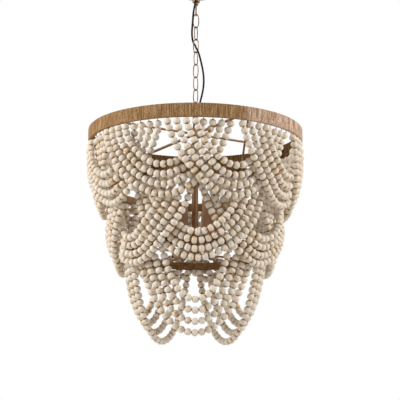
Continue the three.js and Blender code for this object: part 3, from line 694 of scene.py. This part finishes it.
sleeve_low, sleeve_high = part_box("candle_sleeve_1")
sleeve_bore = SLEEVE_RADIUS - SLEEVE_WALL
sleeve = [
    (sleeve_bore, sleeve_low.z),
    (SLEEVE_RADIUS, sleeve_low.z),
    *arc((SLEEVE_RADIUS - SLEEVE_EDGE, sleeve_high.z - SLEEVE_EDGE), SLEEVE_EDGE, 0, 90, 4),
    (sleeve_bore, sleeve_high.z),
]
socket_low, socket_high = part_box("lamp_socket_1")
socket_body = socket_high.z - SOCKET_HEIGHT
bore_floor = socket_high.z - SOCKET_DEPTH
threads = []
for height in np.arange(socket_high.z - 2 * mm, bore_floor + THREAD_PITCH, -THREAD_PITCH):
    threads.append((SOCKET_BORE, height))
    threads.append((SOCKET_BORE + THREAD_DEPTH, height - THREAD_PITCH / 2))
holder = [
    (0, socket_low.z),
    (SOCKET_STEM, socket_low.z),
    (SOCKET_STEM, socket_body),
    (SOCKET_RADIUS - SOCKET_EDGE, socket_body),
    (SOCKET_RADIUS, socket_body + SOCKET_EDGE),
    *arc((SOCKET_RADIUS - SOCKET_EDGE, socket_high.z - SOCKET_EDGE), SOCKET_EDGE, 0, 85, 4),
    (SOCKET_BORE + 0.6 * mm, socket_high.z),
    *threads,
    (SOCKET_BORE, bore_floor),
    (2 * mm, bore_floor),
    (1.6 * mm, bore_floor + 1.4 * mm),
    (0, bore_floor + 1.6 * mm),
]
for number, turn in enumerate(SPOKES, 1):
    axis = radial(turn, LAMP_REACH, 0)[:2]
    node = f"candle_sleeve_{number}"
    spun(f"sleeve_{number}", sleeve, sleeve_tan, "candle_sleeve", node, segments=56, axis=axis)
    node = f"lamp_socket_{number}"
    spun(f"lampholder_{number}", holder, black_plastic, "black_plastic", node, segments=40, axis=axis)

# The leads leave a gold collar on the stem and bend down into the holders' rims. Their places are
# distances out from the light's axis and down from the collar's top, in millimetres.
LEAD_RADIUS = 1.1 * mm
LEAD_PLACES = ((9, 6), (17, 8), (29, 17), (42, 31), (49, 42))
LEADS_COLLAR_WALL = 2.6 * mm
LEADS_COLLAR_HEIGHT = 12 * mm
LEADS_COLLAR_CHAMFER = 0.6 * mm
leads_low, leads_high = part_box("lamp_leads")
radius, low = collar_bore + LEADS_COLLAR_WALL, leads_high.z - LEADS_COLLAR_HEIGHT
collar = chamfered(collar_bore, radius, low, leads_high.z, LEADS_COLLAR_CHAMFER)
spun("leads_collar", collar, antique_gold, "brown_metal", "lamp_leads", segments=40)
rim_reach = LAMP_REACH - (SOCKET_RADIUS + SOCKET_BORE) / 2
for number, turn in enumerate(SPOKES, 1):
    path = [radial(turn, reach * mm, leads_high.z - fall * mm) for reach, fall in LEAD_PLACES]
    path.append(radial(turn, rim_reach, leads_low.z))
    lead_route = smooth_route(np.array(path), 2 * mm)
    piece = piece_from(f"lead_{number}", *tube(lead_route, LEAD_RADIUS, 10), cord_black)
    fit(piece, "lamp_leads")


# The middle and bottom rings are flat steel strip, rolled on edge, butt-welded and sprayed dark
# brown. The strings of the two lower tiers hang behind their lower edges.
RING_RADII = {"middle_ring": 203 * mm, "bottom_ring": 164 * mm}
BAND_WALL = 2.5 * mm
BAND_EDGE = 0.5 * mm
# Enamel sprayed thick: a flat, darker brown with hardly any metal in it.
band_brown = weathered_metal("dark_brown_enamel", "#593a1b", "#765127", "#926c3e", 0.15, 0.5)
for node, radius in RING_RADII.items():
    low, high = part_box(node)
    section = strip_section(radius - BAND_WALL, radius, low.z, high.z, BAND_EDGE)
    spun(node + "_band", section, band_brown, "brown_metal", node, segments=160)


# The top ring is wound with jute yarn, laid side by side over the steel band so that the yarn runs
# up and down its face. Most of it is straw brown; the front right is a rosier yarn, and there its
# colour is also painted paler, as painted light from the lamp on that side.
YARN = 1.9 * mm
YARN_DEPTH = 0.9 * mm
# The front right, where the yarn is rosier and its colour is also painted paler as painted light.
ROSY_LIT_CENTRE = math.radians(-22)
ROSY_LIT_HALF_WIDTH = math.radians(41)
ROSY_LIT_FADE = math.radians(5)
JUTE_OUTER = 254 * mm
JUTE_INNER = 246 * mm
JUTE_EDGE = 2 * mm
JUTE_WAVER = 0.15 * mm
JUTE_SEGMENTS = 620
INNER_MIDDLE = 0.724
jute_low, jute_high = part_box("jute_wrap")
# Twisted bast fibre: matt and hairy, in short light and dark streaks along each yarn. On the UV map,
# turns of yarn count along U, and V goes once round the section from 0 to 1.
jute = new_material("wound_jute_yarn")
uv = add(jute, "UVMap", settings={"uv_map": "yarn"})
streaks = []
for per_turn, per_section, detail in ((1.0, 2, 2), (1.9, 14, 4)):
    place = add(jute, "Mapping", {"Vector": uv, "Scale": (per_turn, per_section, 1)})
    streak = {"Vector": place, "Scale": 1, "Detail": detail, "Roughness": 0.65}
    streaks.append(add(jute, "TexNoise", streak))
yarn_tone, fibre_tone = streaks
tone = add(jute, "Math", {0: fibre_tone, 1: 0.8, 2: yarn_tone}, MULTIPLY_ADD)
straw = ((0.66, "#644829"), (0.92, "#926d46"), (1, "#be9a6c"))
# Rosier yarn, its stops painted paler than the yarn is: painted light from the lamp on the right.
rosy_lit = ((0.66, "#714f3a"), (0.92, "#b18e73"), (1, "#e4c9b1"))
# Darker stops for the ring's inner face: painted shade, standing in for the shade inside the ring.
inner_shade = ((0.66, "#2e1b08"), (0.92, "#4e3212"), (1, "#714f24"))
straw_tone, rosy_lit_tone, inner_shade_tone = (
    add(jute, "ValToRGB", {"Fac": tone}, stops=stops) for stops in (straw, rosy_lit, inner_shade)
)
rosy_lit_share = add(jute, "Attribute", settings={"attribute_name": "rosy_lit"}, output="Fac")
mixed = {0: rosy_lit_share, 6: straw_tone, 7: rosy_lit_tone}
colour = add(jute, "Mix", mixed, {"data_type": "RGBA"}, output=2)
# The inner face, whose middle lies at INNER_MIDDLE in V, is painted darker: painted shade on the side
# of the band that faces in.
across = add(jute, "SeparateXYZ", {"Vector": uv}, output="Y")
from_inner = add(jute, "Math", {0: across, 1: INNER_MIDDLE}, {"operation": "SUBTRACT"})
from_inner = add(jute, "Math", {0: from_inner}, {"operation": "ABSOLUTE"})
clear = add(jute, "MapRange", {"Value": from_inner, "From Min": 0.18, "From Max": 0.23})
mixed = {0: clear, 6: inner_shade_tone, 7: colour}
colour = add(jute, "Mix", mixed, {"data_type": "RGBA"}, output=2)
relief = {"Height": tone, "Distance": YARN_DEPTH, "Strength": 0.8}
normal = add(jute, "Bump", relief)
set_surface(jute, Base_Color=colour, Roughness=0.85, Specular_IOR_Level=0.25, Normal=normal)


def wound_ring():
    """The wound band: a strip's section carried round the ring and scaled there about its middle.
    The scale is 1 plus five slow sine waves and a random step from each turn of yarn to the next,
    over half the winding's thickness. Also gives the run round the section, and the share of the
    rosier yarn, whose colour is also painted paler as painted light."""
    section = strip_section(JUTE_INNER, JUTE_OUTER, jute_low.z, jute_high.z, JUTE_EDGE)
    face_heights = np.linspace(jute_low.z + JUTE_EDGE, jute_high.z - JUTE_EDGE, 7)[1:-1]
    outer = np.stack([np.full(5, JUTE_OUTER), face_heights], 1)
    inner = np.stack([np.full(5, JUTE_INNER), face_heights[::-1]], 1)
    section = np.vstack([section[:4], outer, section[4:12], inner, section[12:]])
    centre = np.array([(JUTE_OUTER + JUTE_INNER) / 2, (jute_low.z + jute_high.z) / 2])
    rng = np.random.default_rng(7)
    angle = np.linspace(0, 2 * np.pi, JUTE_SEGMENTS, endpoint=False)
    waver = sum(
        rng.uniform(0.1, 0.35) * np.sin(count * angle + rng.uniform(0, 6.3))
        for count in (7, 13, 29, 53, 97)
    )
    per_turn = rng.uniform(-0.25, 0.05, JUTE_SEGMENTS)
    stand = (waver - 1) * JUTE_WAVER + per_turn * YARN * 0.4
    swell = 1 + stand / ((JUTE_OUTER - JUTE_INNER) / 2)
    offsets = section - centre
    radius = centre[0] + offsets[:, 0, None] * swell
    height = centre[1] + offsets[:, 1, None] * (1 + (swell - 1) * 0.2)
    vertices = np.stack([radius * np.cos(angle), radius * np.sin(angle), height], -1).reshape(-1, 3)
    run = np.r_[0, np.cumsum(np.linalg.norm(np.diff(section, axis=0, append=section[:1]), axis=1))]
    # The share of rosier yarn whose colour is also painted paler, as painted light.
    from_rosy_lit = np.abs((angle - ROSY_LIT_CENTRE + np.pi) % (2 * np.pi) - np.pi)
    rosy_lit_share = np.clip(0.5 + (ROSY_LIT_HALF_WIDTH - from_rosy_lit) / ROSY_LIT_FADE, 0, 1)
    faces = grid_faces(len(section), JUTE_SEGMENTS, wrap_rows=True)
    return vertices, faces, run, np.tile(rosy_lit_share, len(section))


vertices, faces, run, rosy_lit_share = wound_ring()
piece = piece_from("jute_winding", vertices, faces, jute, sharp=80)
piece.data.attributes.new("rosy_lit", "FLOAT", "POINT").data.foreach_set("value", rosy_lit_share)
# U and V at each face corner. Where a face closes the ring or the section, its far corners take the
# full turn instead of 0.
turns_of_yarn = 2 * math.pi * JUTE_OUTER / YARN
corner = np.zeros(len(piece.data.loops), int)
piece.data.loops.foreach_get("vertex_index", corner)
face_of = np.repeat(np.arange(len(piece.data.polygons)), 4)
row, column = corner // JUTE_SEGMENTS, corner % JUTE_SEGMENTS
first_row, first_column = face_of // JUTE_SEGMENTS, face_of % JUTE_SEGMENTS
u = np.where(column < first_column, JUTE_SEGMENTS, column) / JUTE_SEGMENTS * turns_of_yarn
v = np.where(row < first_row, run[-1], run[row]) / run[-1]
layer = piece.data.uv_layers.new(name="yarn")
layer.data.foreach_set("uv", np.stack([u, v], 1).astype(np.float32).ravel())
fit(piece, "jute_wrap")
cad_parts["top_ring"].material_slots[0].material = band_brown


# Each swag is one long string of turned beech beads, limewashed so that the wood shows warm in
# patches. It hangs in four rows, and at each end the string turns up behind the ring to the next row.
BEAD = 16 * mm
BEAD_GIRTH = 17.4 * mm
BEAD_GAP = 0.5 * mm
BEAD_AROUND = 12
BEAD_BANDS = (-76, -52, -26, 0, 26, 52, 76)
BEAD_HOLE_FLOOR = 0.8
BEAD_TILT = 0.05
STRING_RADIUS = 0.9 * mm
STRING_BEHIND = 2.4 * mm
STRING_FOOT = 0.5 * mm
TURN_RISE = 4 * mm
CURVE_STEPS = 600
# One half of each row hangs outside the next swag and the other inside, CROSSING apart. They part
# over CROSS_RAMP of depth, and over CROSS_EASE of the row's half width from CROSS_START on, a
# CROSS_STEP later for each row. The inner half starts INNER_START inside the ring's face.
CROSSING = 18 * mm
CROSS_RAMP = 18 * mm
CROSS_START = 0.16
CROSS_STEP = 0.045
CROSS_EASE = 0.2
INNER_START = 6.2 * mm
LIFT_START = 55 * mm
LIFT_RAMP = 50 * mm
LEAN_POWER = 2.8
# The most that s^3 (1 - s^2) reaches, between 0 and 1.
BULGE_PEAK = 0.186
CROSSED_SPANS = (0.5625, 0.6875, 0.8125, 0.9375)
# A tier has so many swags, the first one's middle at centre degrees to the right of the front. Spans
# are its rows' half widths, as shares of the angle from swag to swag. The rows sag by sag and a step
# more each, and the deepest leans in by lean. Side is the half that passes outside the next swag: 1
# right, -1 left, 0 where rows don't cross. It stands off by near, and by far below LIFT_START. Bulge
# spreads rows sideways. They hang from top at radius, and face is the ring's inner radius.
tiers = [
    dict(
        name="upper_swag", swags=9, centre=22.5, spans=CROSSED_SPANS, sag=103.5 * mm, step=21.5 * mm,
        lean=30 * mm, side=-1, bulge=0.04, near=2.5 * mm, far=2.5 * mm,
        top=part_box("jute_wrap")[0].z, radius=247.25 * mm, face=246 * mm,
    ),
    dict(
        name="middle_swag", swags=7, centre=2, spans=CROSSED_SPANS, sag=132 * mm, step=18.5 * mm,
        lean=27 * mm, side=1, bulge=0.08, near=0, far=6 * mm,
        top=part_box("middle_ring")[0].z, radius=201.75 * mm, face=200.5 * mm,
    ),
    dict(
        name="lower_swag", swags=3, centre=1, spans=(0.2375, 0.3125, 0.3875, 0.4625), sag=123 * mm,
        step=22.7 * mm, side=0,
        top=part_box("bottom_ring")[0].z, radius=161.5 * mm, face=161.5 * mm,
    ),
]


def eased(value):
    """0 before 0, 1 after 1, and a smooth S between."""
    x = np.clip(value, 0, 1)
    return x * x * (3 - 2 * x)


def catenary_constant(half, sag):
    """The constant a of a chain curve with a (cosh(half / a) - 1) = sag, by halving."""
    low, high = half / 30, half * 30
    for _ in range(60):
        middle = (low + high) / 2
        deep = middle * (math.cosh(half / middle) - 1) > sag
        low, high = (middle, high) if deep else (low, middle)
    return (low + high) / 2


def row_of_beads(tier, swag, order):
    """Bead centres and string directions of one row. The string is a catenary drawn on a surface of
    revolution that leans in with depth; one half runs outside the next swag and the other inside.
    In the bottom tier it hangs in the flat plane through its ends. Beads are set a bead apart."""
    pitch = 360 / tier["swags"]
    centre = math.radians(tier["centre"] + swag * pitch)
    half_angle = math.radians(tier["spans"][order] * pitch)
    radius = tier["radius"]
    sag = tier["sag"] + order * tier["step"]
    deepest = tier["sag"] + 3 * tier["step"]
    half = radius * (half_angle if tier["side"] else math.sin(half_angle))
    constant = catenary_constant(half, sag)
    top_depth = BEAD_GAP + BEAD / 2 / math.cosh(half / constant)
    rise = 1 + (sag - BEAD_GAP - BEAD / 2) / constant
    reach = constant * math.sqrt(rise * rise - 1)
    along = np.linspace(-reach, reach, CURVE_STEPS)
    across = constant * np.arcsinh(along / constant)
    depth = sag - constant * (np.cosh(across / constant) - 1)
    if tier["side"]:
        share = across / half
        outer = share * tier["side"] > 0
        angle = centre + half_angle * (share + tier["bulge"] * share**3 * (1 - share**2) / BULGE_PEAK)
        start = CROSS_START + CROSS_STEP * order
        moved = eased((abs(share) - start) / CROSS_EASE)
        lift = tier["near"] + (tier["far"] - tier["near"]) * eased((depth - LIFT_START) / LIFT_RAMP)
        begin = np.where(outer, 0, tier["face"] - INNER_START - radius)
        target = np.where(outer, lift, lift - CROSSING)
        offset = begin + (target - begin) * eased((depth - top_depth) / CROSS_RAMP)
        lean = tier["lean"] * (depth / deepest) ** LEAN_POWER
        distance = radius - lean + moved * offset
        x, y = distance * np.sin(angle), -distance * np.cos(angle)
    else:
        back = -radius * math.cos(half_angle)
        x = across * math.cos(centre) - back * math.sin(centre)
        y = across * math.sin(centre) + back * math.cos(centre)
    centres = evenly(np.stack([x, y, tier["top"] - depth], axis=1), BEAD)
    return centres, unit(np.gradient(centres, axis=0))


def bead_profile():
    """A turned bead of unit radius: a ball drawn a little square, its radius the cosine of the
    latitude and its height the sine, each to a power under 1, with a dished hole at each pole."""
    latitude = np.radians(BEAD_BANDS)
    radius = np.cos(latitude) ** 0.86
    height = np.sign(latitude) * abs(np.sin(latitude)) ** 0.95
    return [(0, -BEAD_HOLE_FLOOR), *zip(radius, height), (0, BEAD_HOLE_FLOOR)]


bead_vertices, bead_faces = revolve(bead_profile(), segments=BEAD_AROUND)
bead_quads = np.array(bead_faces[: -2 * BEAD_AROUND])
bead_poles = np.array(bead_faces[-2 * BEAD_AROUND :])

# Two-ply twine: straw brown and matt, its plies showing as short dark and light patches.
TWINE_PLY = 1.5 * mm
twine = new_material("natural_twine")
place = add(twine, "TexCoord", output="Object")
ply = add(twine, "TexNoise", {"Vector": place, "Scale": 1 / TWINE_PLY, "Detail": 3})
colour = add(twine, "ValToRGB", {"Fac": ply}, stops=((0.3, "#6b4c30"), (0.7, "#a38158")))
set_surface(twine, Base_Color=colour, Roughness=0.9)

# Turned hardwood under a thin limewash: milky on the girth, with warm wood in patches, and worn to
# bare wood round each hole, where the beads rub. The pores are drawn coarser than beech's, to show.
WOOD_PATCH = 7 * mm
WOOD_PORE = 1.3 * mm
PORE_DEPTH = 0.15 * mm
bead_wood = new_material("limewashed_turned_beech")
tone = add(bead_wood, "Attribute", settings={"attribute_name": "tone"}, output="Fac")
wear = add(bead_wood, "Attribute", settings={"attribute_name": "wear"}, output="Fac")
place = add(bead_wood, "TexCoord", output="Object")
patch = {"Vector": place, "Scale": 1 / WOOD_PATCH, "Detail": 3, "Roughness": 0.55}
wash = add(bead_wood, "TexNoise", patch)
pore = {"Vector": place, "Scale": 1 / WOOD_PORE, "Detail": 2, "Roughness": 0.55}
pores = add(bead_wood, "TexNoise", pore)
for factor, weight in ((pores, 0.3), (tone, 0.3), (wear, 0.6)):
    wash = add(bead_wood, "Math", {0: factor, 1: weight, 2: wash}, MULTIPLY_ADD)
# The last two stops are both at 1: a sum over 1 is bare wood, with a sharp edge.
stops = ((0.55, "#e9dfd1"), (0.85, "#ddcdb5"), (1, "#cfaa78"), (1, "#9f7343"))
colour = add(bead_wood, "ValToRGB", {"Fac": wash}, stops=stops)
relief = {"Height": pores, "Distance": PORE_DEPTH, "Strength": 0.35}
normal = add(bead_wood, "Bump", relief)
set_surface(bead_wood, Base_Color=colour, Roughness=0.6, Normal=normal)


def string_of(rows, tier):
    """One unbroken string through all rows, end to end and back, turning up behind the ring."""
    behind = tier["face"] - STRING_BEHIND
    rise = tier["top"] + TURN_RISE - STRING_RADIUS
    foot = tier["top"] + STRING_FOOT
    path = []
    for order, centres in enumerate(rows):
        ordered = centres if order % 2 == 0 else centres[::-1]
        turns = []
        for end in (ordered[0], ordered[-1]):
            turn = math.atan2(end[1], end[0])
            turns.append([radial(turn, behind, height) for height in (rise, foot)])
        path += [*turns[0], *ordered, *reversed(turns[1])]
    return np.array(path)


rng = np.random.default_rng(20)
for tier, swag in [(tier, swag) for tier in tiers for swag in range(tier["swags"])]:
    rows, directions = zip(*(row_of_beads(tier, swag, order) for order in range(4)))
    centres = np.vstack(rows)
    count = len(centres)
    axis = unit(np.vstack(directions) + rng.normal(0, BEAD_TILT, (count, 3)))
    side = unit(np.cross(axis, rng.normal(0, 1, (count, 3))))
    other = np.cross(axis, side)
    girth = BEAD_GIRTH / 2 * rng.uniform(0.96, 1.0, count)[:, None, None]
    length = BEAD / 2 * rng.uniform(0.95, 1.0, count)[:, None, None]
    vertices = (
        centres[:, None]
        + girth * bead_vertices[:, :1] * side[:, None]
        + girth * bead_vertices[:, 1:2] * other[:, None]
        + length * bead_vertices[:, 2:] * axis[:, None]
    ).reshape(-1, 3)
    per_bead = len(bead_vertices)
    shift = (np.arange(count) * per_bead)[:, None, None]
    faces = (bead_quads + shift).reshape(-1, 4).tolist()
    faces += (bead_poles + shift).reshape(-1, 3).tolist()
    string = tube(string_of(rows, tier), STRING_RADIUS, 5)
    name = f"{tier['name']}_{swag + 1}"
    piece = piece_from(name + "_beads", *merged((vertices, faces), string), bead_wood, sharp=60)
    piece.data.materials.append(twine)
    slots = np.r_[np.zeros(len(faces), int), np.ones(len(string[1]), int)]
    piece.data.polygons.foreach_set("material_index", slots)
    looks = {
        "tone": np.repeat(rng.beta(1.2, 4, count), per_bead),
        "wear": np.tile(abs(bead_vertices[:, 2]) ** 8, count),
    }
    for attribute, values in looks.items():
        layer = piece.data.attributes.new(attribute, "FLOAT", "POINT")
        values = np.r_[values, np.zeros(len(string[0]))].astype(np.float32)
        layer.data.foreach_set("value", values)
    fit(piece, name)


# The studio: a white surround and a pale floor well below the light, with large soft lamps at the
# sides and faint ones in front and behind. The surround shows white to the camera and to
# reflections, and lights the beads dimly.
FLOOR_HEIGHT = -2.4
FLOOR_SIZE = 14
FLOOR_GLOW = 0.5
SURROUND_LIGHT = 0.29
floor_paint = new_material("pale_floor")
camera_ray = add(floor_paint, "LightPath", output="Is Camera Ray")
glow = add(floor_paint, "Math", {0: camera_ray, 1: FLOOR_GLOW}, {"operation": "MULTIPLY"})
white = linear("#ffffff")
set_surface(floor_paint, Base_Color=linear("#f4f3f1"), Roughness=0.8)
set_surface(floor_paint, Emission_Color=white, Emission_Strength=glow)
# From below it is clear, so that the light can be looked up at.
paint = floor_paint.node_tree.nodes["Principled BSDF"].outputs[0]
underside = add(floor_paint, "NewGeometry", output="Backfacing")
clear = add(floor_paint, "BsdfTransparent")
mixed = add(floor_paint, "MixShader", {0: underside, 1: paint, 2: clear})
set_inputs(floor_paint, floor_paint.node_tree.nodes["Material Output"], {"Surface": mixed})
edge = FLOOR_SIZE / 2
corners = ((-1, -1), (1, -1), (1, 1), (-1, 1))
corners = [(x * edge, y * edge, FLOOR_HEIGHT) for x, y in corners]
piece_from("floor", corners, [(0, 1, 2, 3)], floor_paint)

world = bpy.data.worlds.new("studio")
world.use_nodes = True
shown = add(world, "LightPath", output="Is Camera Ray")
for kind in ("Is Glossy Ray", "Is Transmission Ray"):
    ray = add(world, "LightPath", output=kind)
    shown = add(world, "Math", {0: shown, 1: ray}, {"operation": "MAXIMUM"})
strength = add(world, "MapRange", {"Value": shown, "To Min": SURROUND_LIGHT, "To Max": 1})
set_inputs(world, world.node_tree.nodes["Background"], {"Color": white, "Strength": strength})
scene.world = world

# Square area lamps: place, width and power in watts, aimed at the middle of the chandelier.
LAMPS = {
    "key": ((-3.1, -1.3, 0.7), 1.4, 104),
    "fill": ((3.1, -1.0, 0.8), 1.6, 90),
    "front": ((-0.6, -3.4, -0.6), 1.6, 4),
    "back": ((0.6, 2.8, 0.9), 1.8, 18),
}
LAMP_AIM = (0, 0, -0.5)
for name, (place, width, power) in LAMPS.items():
    lamp = bpy.data.objects.new(name, bpy.data.lights.new(name, "AREA"))
    lamp.data.size = width
    lamp.data.energy = power
    lamp.location = place
    x, y, z = np.subtract(LAMP_AIM, place)
    lamp.rotation_euler = (math.atan2(math.hypot(x, y), -z), 0, math.atan2(y, x) - math.pi / 2)
    scene.collection.objects.link(lamp)

scene.view_settings.view_transform = "Standard"
